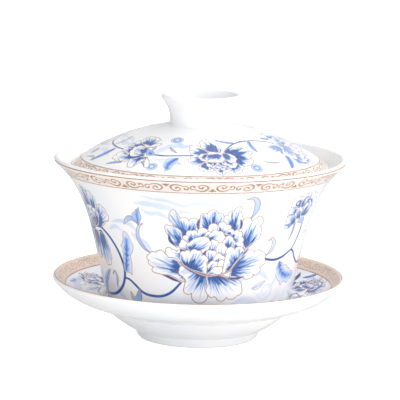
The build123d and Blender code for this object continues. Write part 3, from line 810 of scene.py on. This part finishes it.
# ------------------------------------------------------------------ the saucer
def paint_saucer(canvas):
    """Half of the saucer's slope, from the rim (low s) down towards the well."""
    left, right, far = Brush(canvas, 74, 11), Brush(canvas, 106, 11), Brush(canvas, 183, 12)
    left.wash([(-2, -3.6), (4, -3.8), (9, -2), (14, -3.4)], [.6, 3.4, 3, .6], ink=.17, seed=61)
    left.wash([(0, 1.4), (6, 1.6), (12, 1)], [.4, 1.8, .4], seed=62)
    left.wash([(-19, 1), (-13, 5.6), (-6, 8.8)], [.4, 1.8, .4], seed=63)
    right.wash([(-12, -2.4), (-6, -3.8), (0, -2.6), (5, -4.2)], [.5, 2.6, 2.8, .5], ink=.15, seed=64)
    right.wash([(-3, 8.2), (3, 7), (8, 5)], [.4, 1.8, .4], seed=65)
    far.wash([(-26, -3), (-18, -4.6), (-11, -3)], [.4, 2.4, .4], seed=66)
    far.wash([(12, 3), (20, 4.6), (28, 2.6)], [.4, 2.2, .4], seed=67)
    swirl(canvas, 152, 14, 2.4, seed=65, width=1)
    # the left flower with its leaf, and the vine that passes it
    left.ribbon([(-6, 3.6), (-1, 4.4), (4, 5.2), (8, 6.6), (12, 7.2)], [.3, .6, .6, .4, .2], ink=.8)
    left.ribbon([(-20, -3), (-15, 0), (-9, 3.2), (-3, 6.2), (3, 8.2)], [.6, 1.7, 1.9, 1.2, .2], ink=.4,
                end_ink=.24, gold=.2, azure=1)
    open_flower(Brush(canvas, 64, 9.6, turn=160, size=.68, squash=.72), 500)
    left.leaf((2.5, -4.6), (8.5, -5.4), 1, bend=.4, veins=0, ink=.4, seed=68)
    left.leaf((-1.5, 3.4), (5.4, 1.8), 1.2, bend=.5, veins=0, ink=.34, seed=73)
    left.leaf((-20, -4.6), (-15.4, -1.2), 1.3, bend=-.4, veins=0, ink=.42, seed=74)
    left.leaf((9, 6.8), (14.5, 3.4), 1.3, bend=.5, veins=0, ink=.34, seed=75)
    for x in (2, 9):
        left.gild(curve([(x - 2.2, -1.4), (x, -.4), (x + 2.4, -1.6)]), width=.3)
    # the right flower, hanging from its vine
    right.ribbon([(-12, 4.4), (-5, 5.1), (0, 5), (5, 4), (8.4, 2.8), (11.2, 1), (13, -1.6)],
                 [.3, .5, .6, .6, .8, .9], ink=.92)
    open_flower(Brush(canvas, 106, 9.4, turn=188, size=.86, squash=.72), 540)
    right.ribbon([(8.4, 2.2), (10.6, .8), (12.8, .6)], [.3, 2.1, .4], ink=.9, gold=.2)
    right.ribbon([(12.4, -1.2), (14, -3.2), (15.4, -5.2)], [.5, 1.8, .2], ink=NAVY, gold=.2)
    right.leaf((6.6, -7), (11.4, -3.4), 1.2, bend=.5, veins=0, ink=.6, edge=.3, seed=69)
    right.leaf((-2.4, 5.4), (-5, 8.8), 1.4, bend=-.5, veins=0, ink=.34, seed=70)
    # the far side of the repeat
    far.ribbon([(-34, 0), (-26, 3.4), (-16, 4.4), (-6, 1)], [.4, .7, .7, .5], ink=NAVY)
    far.ribbon([(5, 1), (14, -1.6), (24, -1.4), (34, 1)], [.5, .6, .5, .3], ink=NAVY)
    far.leaf((-22, 3.8), (-15, -3.6), 1.9, bend=.8, teeth=3, veins=2, seed=71)
    far.leaf((15, -1.4), (21, 5.6), 1.7, bend=-.7, teeth=2, veins=2, seed=72)
    open_flower(Brush(canvas, 183, 10.6, turn=172, size=.72, squash=.85), 580)


# ------------------------------------------------------------------ the scroll bands
SCROLL = [(3.1, .35), (3.5, -.25), (4.3, .1), (4.5, 1.1), (3.3, 1.75), (1.75, 1), (1.5, -.5), (2.8, -1.65),
          (4.6, -1.45), (5.7, -.75), (6.6, -.9), (7.2, -.1), (6.9, .9), (6.1, 1), (5.9, .35)]
SCROLL_WIDTHS = [.7, .38, .4, .56, .7, .48, .36, .42, .62]


def paint_band(canvas, middle, height, cream=.5, tint=0, strength=1):
    """Two units of the scroll band: paired scrolls that face a small lozenge, low and then high.
    cream and tint are how much cream and copper its ground has, and strength how much copper the scrolls."""
    canvas.cream[:] = cream
    canvas.gold[:] = tint
    unit = canvas.turn / 2
    size = unit * np.interp(middle, canvas.along, canvas.radius) / 15.1
    for n, way in ((0, 1), (1, -1)):
        brush = Brush(canvas, math.degrees((n + .5) * unit), middle)
        rise = way * height / 4.6
        for mirror in (1, -1):
            path = np.array(SCROLL) * [mirror * size, rise]
            draw_copper(brush, path, SCROLL_WIDTHS, strength, n + mirror)
            draw_copper(brush, path[-2:], [.46, .66], strength, n)
        for x, y, w in ((0, 1.35, 1.15), (0, .75, .5), (-.95, 1.75, .45), (.95, 1.75, .45)):
            lozenge = np.array([(x - w * .8, -y * rise), (x, -(y + w * .75) * rise),
                                (x + w * .8, -y * rise), (x, -(y - w * .75) * rise)])
            where, gx, gy = brush.window(lozenge, 1)
            canvas.gild(where, strength * smoothstep(-SOFT, SOFT, outline_depth(gx, gy, lozenge)))


def draw_copper(brush, points, widths, strength, seed):
    """A copper stroke whose strength changes a little along it."""
    where, gap, share = brush.near(curve(points), 1)
    tone = strength * (.9 + .1 * noise(share * 7 + 3, seed + 70))
    edge = gap - spread(share, widths) / 2
    brush.canvas.gild(where, tone * smoothstep(SOFT / 2, -SOFT / 2, edge))


# ------------------------------------------------------------------ walls of the frame's porcelain
SKIN_RISE = 0.03        # how far the paint lies above the porcelain, mm
LINE_RISE = 0.06        # how high the gilt lines stand at their middle, above their edges
PROFILE_STEP = 0.4      # the least distance between two points read from a profile


def profile(node, faces, key, low, high):
    """The (r, z) points of one face of a turned piece in mm. The test faces picks vertices by how far their
    normals point outwards and up; key sorts them, and low and high bound it."""
    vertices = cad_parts[node].data.vertices
    place, normal = np.zeros((2, len(vertices), 3), np.float32)
    vertices.foreach_get("co", place.ravel())
    vertices.foreach_get("normal", normal.ravel())
    place = place / MM
    r = np.hypot(place[:, 0], place[:, 1])
    outward = (place[:, 0] * normal[:, 0] + place[:, 1] * normal[:, 1]) / np.maximum(r, 1e-6)
    points = np.stack([r, place[:, 2]], -1)
    order = key(points)
    chosen = faces(outward, normal[:, 2]) & (order >= low) & (order <= high)
    points, order = points[chosen], order[chosen]
    rank = np.argsort(order)
    kept, last = [], -1e9
    for n in rank:
        if order[n] - last >= PROFILE_STEP:
            kept.append(n)
            last = order[n]
    return curve(points[kept], steps=6)


class Wall:
    """A turned wall that can be painted: s is in mm along its profile, from its point nearest to start.
    The paint goes on its right as s grows where side is 1, and on its left where it is -1."""

    def __init__(self, points, start, side):
        self.points, self.side = points, side
        lengths = np.concatenate([[0], np.cumsum(np.hypot(*np.diff(points, axis=0).T))])
        self.s = lengths - lengths[np.argmin(np.hypot(*(points - np.array(start)).T))]

    def at(self, s, rise):
        """The (r, z) points at s, lifted off the wall by rise."""
        r, z = np.interp(s, self.s, self.points[:, 0]), np.interp(s, self.s, self.points[:, 1])
        dr, dz = np.gradient(r, s), np.gradient(z, s)
        length = np.hypot(dr, dz)
        return r + rise * self.side * dz / length, z - rise * self.side * dr / length


def facing_out(outward, up):
    return (outward > 0.02) & (up < 0.8)


def facing_up(outward, up):
    return up > 0.05


BOWL_WALL = Wall(profile("bowl", facing_out, lambda p: p[:, 1], 8.25, 63.4), (20.6, 8.3), 1)
LID_TOP = Wall(profile("lid", facing_up, lambda p: p[:, 0], 11.35, 45.1), (11.4, 74.92), -1)
SAUCER_TOP = Wall(profile("saucer", facing_up, lambda p: -p[:, 0], -51.1, -24), (49.46, 21.49), 1)


# ------------------------------------------------------------------ meshes
def turned_sheet(name, wall, s, rise, theta, closed, pigment=None):
    """A sheet that follows a wall: a grid with a row for each s and a column for each angle."""
    r, z = wall.at(s, rise)
    x, y = r[:, None] * np.sin(theta) * MM, -r[:, None] * np.cos(theta) * MM
    place = np.stack([x, y, np.broadcast_to((z * MM)[:, None], x.shape)], -1).astype(np.float32)
    index = np.arange(x.size).reshape(x.shape)
    if closed:
        index = np.concatenate([index, index[:, :1]], 1)
    corners = [index[:-1, :-1], index[:-1, 1:], index[1:, 1:], index[1:, :-1]]
    faces = np.stack(corners, -1).reshape(-1, 4).astype(np.int32)
    mesh = bpy.data.meshes.new(name)
    mesh.vertices.add(x.size)
    mesh.vertices.foreach_set("co", place.ravel())
    mesh.loops.add(faces.size)
    mesh.loops.foreach_set("vertex_index", faces.ravel())
    mesh.polygons.add(len(faces))
    mesh.polygons.foreach_set("loop_start", np.arange(len(faces), dtype=np.int32) * 4)
    mesh.polygons.foreach_set("use_smooth", np.ones(len(faces), bool))
    for layer, values in (pigment or {}).items():
        attribute = mesh.attributes.new(layer, "FLOAT", "POINT")
        attribute.data.foreach_set("value", values.astype(np.float32).ravel())
    mesh.update(calc_edges=True)
    mesh.validate()
    if wall.side < 0:
        mesh.flip_normals()
    return add_object(name, mesh)


def add_object(name, data):
    made = bpy.data.objects.new(name, data)
    bpy.context.scene.collection.objects.link(made)
    return made


def attach(piece, material, body):
    """Gives a piece its material, and lets it move with its body."""
    piece.data.materials.append(material)
    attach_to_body(piece, body)


def paint_skin(name, wall, canvas, body, material, sectors=1, turned=0):
    """The painted skin of one wall, turned by some degrees and cut into as many equal sectors as asked."""
    total = canvas.columns * canvas.repeats
    theta = np.arange(total + 1) * canvas.step + math.radians(turned)
    whole = sectors == 1
    for n in range(sectors):
        columns = np.arange(total * n // sectors, total * (n + 1) // sectors + (not whole))
        pigment = {key: getattr(canvas, key)[:, columns % canvas.columns] for key in LAYERS}
        label = name if whole else f"{name}_{n + 1}"
        sheet = turned_sheet(label, wall, canvas.along, SKIN_RISE, theta[columns], whole, pigment)
        attach(sheet, material, body)


def gilt_line(name, wall, s, width, body):
    """A thin raised gilt line right round a wall: a rounded ribbon with its edges down on the glaze."""
    across = np.linspace(-1, 1, 7)
    rise = SKIN_RISE * 0.5 + LINE_RISE * (1 - across ** 4)
    theta = np.linspace(0, 2 * math.pi, 720, endpoint=False)
    attach(turned_sheet(name, wall, s + width * across / 2, rise, theta, True), GILDING, body)


# ------------------------------------------------------------------ materials
LAYERS = ("ink", "azure", "gold", "cream")      # the skins' pigment layers
WHITE = (1, 1, 1, 1)
CLEAR_COAT = 0.35
RELIEF = 0.00002        # height of the surfaces' fine unevenness, in metres


def srgb(red, green, blue):
    """A colour given from 0 to 255 as the screen shows it, in the linear values that the shaders use."""
    values = np.array([red, green, blue]) / 255
    linear = np.where(values <= 0.04045, values / 12.92, ((values + 0.055) / 1.055) ** 2.4)
    return (*linear.tolist(), 1.0)


def on_glaze(red, green, blue):
    """A pigment's colour as it shows over the white glaze, as the share of the white's light it keeps."""
    shares = [min(c / w, 1.0) for c, w in zip(srgb(red, green, blue), srgb(244, 244, 246)[:3])]
    return (*shares, 1.0)


class Nodes:
    """A node tree, with short ways to add what these materials and the sky use."""

    def __init__(self, tree):
        self.tree = tree

    def add(self, kind, inputs=None, **settings):
        node = self.tree.nodes.new(kind)
        for key, value in settings.items():
            setattr(node, key, value)
        for key, value in (inputs or {}).items():
            self.put(node.inputs[key], value)
        return node

    def put(self, socket, value):
        if isinstance(value, bpy.types.NodeSocket):
            self.tree.links.new(value, socket)
        else:
            socket.default_value = value

    def shade(self, **values):
        """Sets the shader's inputs: Base_Color for Base Color, and so on."""
        for key, value in values.items():
            self.put(self.shader.inputs[key.replace("_", " ")], value)

    def math(self, operation, a, b=0.0, clamp=False):
        return self.add("ShaderNodeMath", {0: a, 1: b}, operation=operation, use_clamp=clamp).outputs[0]

    def mix(self, factor, a, b, blend="MIX"):
        node = self.add("ShaderNodeMix", data_type="RGBA", blend_type=blend)
        for key, value in (("Factor", factor), ("A", a), ("B", b)):
            self.put(node.inputs[key], value)
        return next(o for o in node.outputs if o.type == "RGBA")

    def ramp(self, value, low, high, out_low, out_high):
        limits = {"From Min": low, "From Max": high, "To Min": out_low, "To Max": out_high}
        return self.add("ShaderNodeMapRange", {"Value": value, **limits}).outputs["Result"]

    def place(self, kind):
        """The coordinates of one kind, such as Object."""
        return self.add("ShaderNodeTexCoord").outputs[kind]

    def noise(self, scale, detail=2, distortion=0):
        shape = {"Scale": scale, "Detail": detail, "Distortion": distortion}
        return self.add("ShaderNodeTexNoise", {"Vector": self.place("Object"), **shape}).outputs["Fac"]

    def colours(self, value, stops):
        node = self.add("ShaderNodeValToRGB", {"Fac": value})
        ramp = node.color_ramp
        ramp.elements[0].position, ramp.elements[0].color = stops[0]
        ramp.elements[1].position, ramp.elements[1].color = stops[-1]
        for position, colour in stops[1:-1]:
            ramp.elements.new(position).color = colour
        return node.outputs["Color"]

    def bump(self, height):
        node = self.add("ShaderNodeBump", {"Height": height, "Distance": RELIEF, "Strength": 1})
        return node.outputs["Normal"]


def new_material(name):
    """A new material and its nodes, the shader among them."""
    material = bpy.data.materials.new(name)
    material.use_nodes = True
    nodes = Nodes(material.node_tree)
    nodes.shader = nodes.tree.nodes["Principled BSDF"]
    return material, nodes


GLAZE_COOL, GLAZE_WARM = srgb(238, 240, 244), srgb(244, 243, 242)
BISCUIT, BISCUIT_DARK = srgb(222, 212, 196), srgb(203, 188, 166)
GOLD, GOLD_DARK = srgb(186, 140, 112), srgb(132, 95, 74)
CREAM = on_glaze(238, 213, 192)
COBALT = [(0, WHITE), (0.28, on_glaze(205, 216, 238)), (0.58, on_glaze(126, 156, 208)),
          (0.80, on_glaze(76, 110, 172)), (1, on_glaze(48, 78, 141))]
AZURE = [(0, WHITE), (0.13, on_glaze(214, 223, 245)), (0.30, on_glaze(166, 196, 240)),
         (0.50, on_glaze(100, 146, 224)), (0.75, on_glaze(58, 102, 196)), (1, on_glaze(36, 64, 150))]


def glaze_body(nodes):
    """The white glaze that everything shares: its colour, roughness and gently uneven surface."""
    colour = nodes.mix(nodes.ramp(nodes.noise(55, 3), 0.35, 0.65, 0, 1), GLAZE_COOL, GLAZE_WARM)
    roughness = nodes.ramp(nodes.noise(240, 3), 0.3, 0.7, 0.10, 0.17)
    waves = nodes.math("ADD", nodes.noise(130), nodes.math("MULTIPLY", nodes.noise(620), 0.12))
    nodes.shade(IOR=1.5, Coat_Weight=CLEAR_COAT, Coat_Roughness=0.04)
    return colour, roughness, waves


def glaze_material(name, foot=None):
    """White glazed porcelain. Where a height foot is given, in metres, it is bare biscuit below that."""
    material, nodes = new_material(name)
    colour, roughness, waves = glaze_body(nodes)
    if foot is not None:
        height = nodes.add("ShaderNodeSeparateXYZ", {0: nodes.place("Object")}).outputs["Z"]
        ragged = nodes.math("ADD", height, nodes.math("MULTIPLY", nodes.noise(900, 3), 0.0003))
        bare = nodes.ramp(ragged, foot + 0.0002, foot + 0.00035, 1, 0)
        grain = nodes.noise(5000)
        biscuit = nodes.mix(nodes.ramp(grain, 0.4, 0.7, 0, 1), BISCUIT, BISCUIT_DARK)
        colour = nodes.mix(bare, colour, biscuit)
        roughness = nodes.math("ADD", roughness, nodes.math("MULTIPLY", bare, 0.6), clamp=True)
        uncoated = nodes.math("MULTIPLY", bare, CLEAR_COAT)
        nodes.shade(Coat_Weight=nodes.math("SUBTRACT", CLEAR_COAT, uncoated))
        rough_waves = nodes.math("MULTIPLY", nodes.math("MULTIPLY", grain, bare), 0.5)
        waves = nodes.math("ADD", waves, rough_waves)
    nodes.shade(Base_Color=colour, Roughness=roughness, Normal=nodes.bump(waves))
    return material


def painted_material(name):
    """Cobalt and azure under the glaze, gold over it, where the skin's own layers say."""
    material, nodes = new_material(name)
    white, roughness, waves = glaze_body(nodes)
    ink, azure, gold, cream = (nodes.add("ShaderNodeAttribute", attribute_name=layer).outputs["Fac"]
                               for layer in LAYERS)
    pooled = nodes.math("MULTIPLY", ink, nodes.ramp(nodes.noise(1500), 0.25, 0.75, 0.90, 1.08), clamp=True)
    pigment = nodes.mix(azure, nodes.colours(pooled, COBALT), nodes.colours(pooled, AZURE))
    ground = nodes.mix(cream, WHITE, CREAM)
    ground = nodes.mix(1, white, ground, blend="MULTIPLY")
    painted = nodes.mix(1, ground, pigment, blend="MULTIPLY")
    worn = nodes.mix(nodes.ramp(nodes.noise(420, 3), 0.35, 0.7, 0, 0.6), GOLD, GOLD_DARK)
    nodes.shade(Base_Color=nodes.mix(gold, painted, worn))
    nodes.shade(Roughness=nodes.math("ADD", roughness, nodes.math("MULTIPLY", gold, 0.16)))
    nodes.shade(Metallic=nodes.math("MULTIPLY", gold, 0.35))
    relief = nodes.math("ADD", waves, nodes.math("MULTIPLY", gold, 0.25))
    nodes.shade(Normal=nodes.bump(relief))
    return material


def gilding_material(name):
    """Burnished copper gold, brushed on by hand and a little uneven."""
    material, nodes = new_material(name)
    worn = nodes.ramp(nodes.noise(260, 4, 0.4), 0.38, 0.68, 0, 0.7)
    nodes.shade(Base_Color=nodes.mix(worn, GOLD, GOLD_DARK), Metallic=0.35)
    nodes.shade(Roughness=nodes.ramp(nodes.noise(1200), 0.3, 0.7, 0.22, 0.42))
    nodes.shade(Normal=nodes.bump(nodes.noise(2500)))
    return material


def dress_node(name, material):
    """Gives a CAD node its material."""
    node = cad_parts[name]
    node.data.materials.clear()
    node.data.materials.append(material)


dress_node("saucer", glaze_material("saucer_glaze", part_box("saucer")[0].z))
dress_node("bowl", glaze_material("bowl_glaze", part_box("bowl")[0].z))
plain_glaze = glaze_material("lid_glaze")
dress_node("lid", plain_glaze)
dress_node("lid_knob", plain_glaze)

PAINTED = painted_material("painted_glaze")
BANDED = painted_material("scroll_band_glaze")
GILDING = gilding_material("copper_gilding")


# ------------------------------------------------------------------ the decoration
def decorate(body, wall, field, paint, sectors, band, rounds, scrolls, turned=(0, 0), **tones):
    """The painting and the scroll band of one body. field and band are where on the wall they go, turned
    is how many degrees each is moved round, and scrolls is the scrolls' middle and height."""
    canvas = Canvas(wall, *field, 2)
    paint(canvas)
    paint_skin(f"{body}_painting", wall, canvas, body, PAINTED, sectors, turned[0])
    canvas = Canvas(wall, *band, rounds, BAND_GRID)
    paint_band(canvas, *scrolls, **tones)
    paint_skin(f"{body}_scroll_band", wall, canvas, body, BANDED, 1, turned[1])


def gild_edges(body, wall, inner, outer):
    """The two gilt lines that edge a scroll band, the inner one a little wider."""
    gilt_line(f"{body}_gilt_line_inner", wall, inner, 0.38, body)
    gilt_line(f"{body}_gilt_line_outer", wall, outer, 0.32, body)


decorate("bowl", BOWL_WALL, (9, 60.1), paint_bowl, 8, (60.28, 65.85), 10, (63.05, 4.6), turned=(1, -4))
decorate("lid", LID_TOP, (7, 32.5), paint_lid, 4, (32.7, 36.3), 10, (34.5, 3.2), strength=0.8)
decorate("saucer", SAUCER_TOP, (4.2, 22), paint_saucer, 3, (-0.8, 4), 14, (1.7, 3.2),
         cream=0.9, tint=0.1, strength=0.42)
gild_edges("bowl", BOWL_WALL, 60.2, 65.95)
gild_edges("lid", LID_TOP, 32.6, 36.4)
gild_edges("saucer", SAUCER_TOP, 4.1, -0.95)


# ------------------------------------------------------------------ floor, light and camera
CENTRE = (CAD_BOX[0] + CAD_BOX[1]) / 2


def softbox(name, place, width, height, power, mirrored=True):
    """A soft rectangular studio light aimed at the set, sized in metres and powered in watts; mirrored
    says whether the glaze reflects it."""
    lamp = bpy.data.lights.new(name, "AREA")
    lamp.shape, lamp.size, lamp.size_y = "RECTANGLE", width, height
    lamp.energy = power
    holder = add_object(name, lamp)
    holder.location = place
    holder.visible_glossy = mirrored
    aim(holder, CENTRE - Vector(place))


def aim(holder, way):
    """Turns a light or the camera to look along a direction."""
    holder.rotation_mode = "QUATERNION"
    holder.rotation_quaternion = way.to_track_quat("-Z", "Y")


FLOOR_RADIUS = 3.0      # metres
FLOOR_RISE = 0.5        # how far its edge curves up, from FLOOR_FLAT of the way out
FLOOR_FLAT = 0.7
FLOOR_RINGS = 23
FLOOR_CORNERS = 48


def studio_floor():
    """A wide pale floor at the height that the saucer stands on, with its far edges curved up."""
    points, faces = [], []
    for ring in range(FLOOR_RINGS):
        share = (ring + 1) / FLOOR_RINGS
        rise = FLOOR_RISE * max((share - FLOOR_FLAT) / (1 - FLOOR_FLAT), 0) ** 2
        for n in range(FLOOR_CORNERS):
            angle = 2 * math.pi * n / FLOOR_CORNERS
            points.append((FLOOR_RADIUS * share * math.cos(angle), FLOOR_RADIUS * share * math.sin(angle),
                           CAD_BOX[0].z + rise))
            if ring:
                inner, after = (ring - 1) * FLOOR_CORNERS, (n + 1) % FLOOR_CORNERS
                outer = inner + FLOOR_CORNERS
                faces.append((inner + n, inner + after, outer + after, outer + n))
    mesh = bpy.data.meshes.new("studio_floor")
    mesh.from_pydata(points, [], [*faces, range(FLOOR_CORNERS)])
    made = add_object("studio_floor", mesh)
    material, nodes = new_material("floor_paper")
    paper = nodes.mix(nodes.noise(40, 3), srgb(240, 240, 241), srgb(244, 244, 244))
    nodes.shade(Base_Color=paper, Roughness=0.9, Emission_Color=WHITE)
    seen = nodes.add("ShaderNodeLightPath").outputs["Is Camera Ray"]
    nodes.shade(Emission_Strength=nodes.ramp(seen, 0, 1, 0.08, 0.6))
    mesh.materials.append(material)
    made.visible_glossy = False


def studio_sky():
    """Even white light from all round, a little weaker from the left; the camera sees plain white."""
    world = bpy.data.worlds.new("studio")
    bpy.context.scene.world = world
    world.use_nodes = True
    sky = Nodes(world.node_tree)
    sky.tree.nodes.clear()
    rays = sky.add("ShaderNodeLightPath").outputs
    side = sky.add("ShaderNodeSeparateXYZ", {0: sky.place("Generated")}).outputs["X"]
    mirrored = sky.math("MULTIPLY", rays["Is Glossy Ray"], sky.ramp(side, -1, 1, 0, 0.25))
    strength = sky.math("MULTIPLY", sky.ramp(side, -1, 1, 0.45, 1.15), sky.math("SUBTRACT", 1, mirrored))
    light = sky.add("ShaderNodeBackground", {"Color": WHITE, "Strength": strength}).outputs[0]
    seen = sky.add("ShaderNodeBackground", {"Color": WHITE, "Strength": 1.05}).outputs[0]
    both = sky.add("ShaderNodeMixShader", {0: rays["Is Camera Ray"], 1: light, 2: seen}).outputs[0]
    sky.add("ShaderNodeOutputWorld", {0: both})


studio_floor()
studio_sky()
softbox("key_softbox", (0.45, -0.75, 0.75), 0.7, 0.7, 2.0)
softbox("front_softbox", (0.15, -1.1, 0.12), 1.2, 0.2, 4.8, mirrored=False)
softbox("back_softbox", (0.5, 0.6, 0.55), 0.6, 0.6, 5.0, mirrored=False)
softbox("right_softbox", (0.9, 0.05, 0.35), 0.5, 0.8, 0.6)
softbox("top_softbox", (-0.1, 0.2, 1.1), 0.9, 0.9, 1.6)

CAMERA_TARGET = Vector((0, 0, 0.040))
CAMERA_DISTANCE = 0.839
CAMERA_ELEVATION = math.radians(10.43)
CAMERA_ROLL = math.radians(0.95)
lens = bpy.data.cameras.new("camera")
lens.lens, lens.sensor_width = 216, 36
lens.shift_x, lens.shift_y = 0.002, 0.0575
camera = add_object("camera", lens)
back = Vector((0, -math.cos(CAMERA_ELEVATION), math.sin(CAMERA_ELEVATION)))
camera.location = CAMERA_TARGET + back * CAMERA_DISTANCE
aim(camera, -back)
camera.rotation_quaternion = camera.rotation_quaternion @ Quaternion((0, 0, 1), CAMERA_ROLL)
bpy.context.scene.camera = camera
bpy.context.scene.view_settings.view_transform = "Standard"
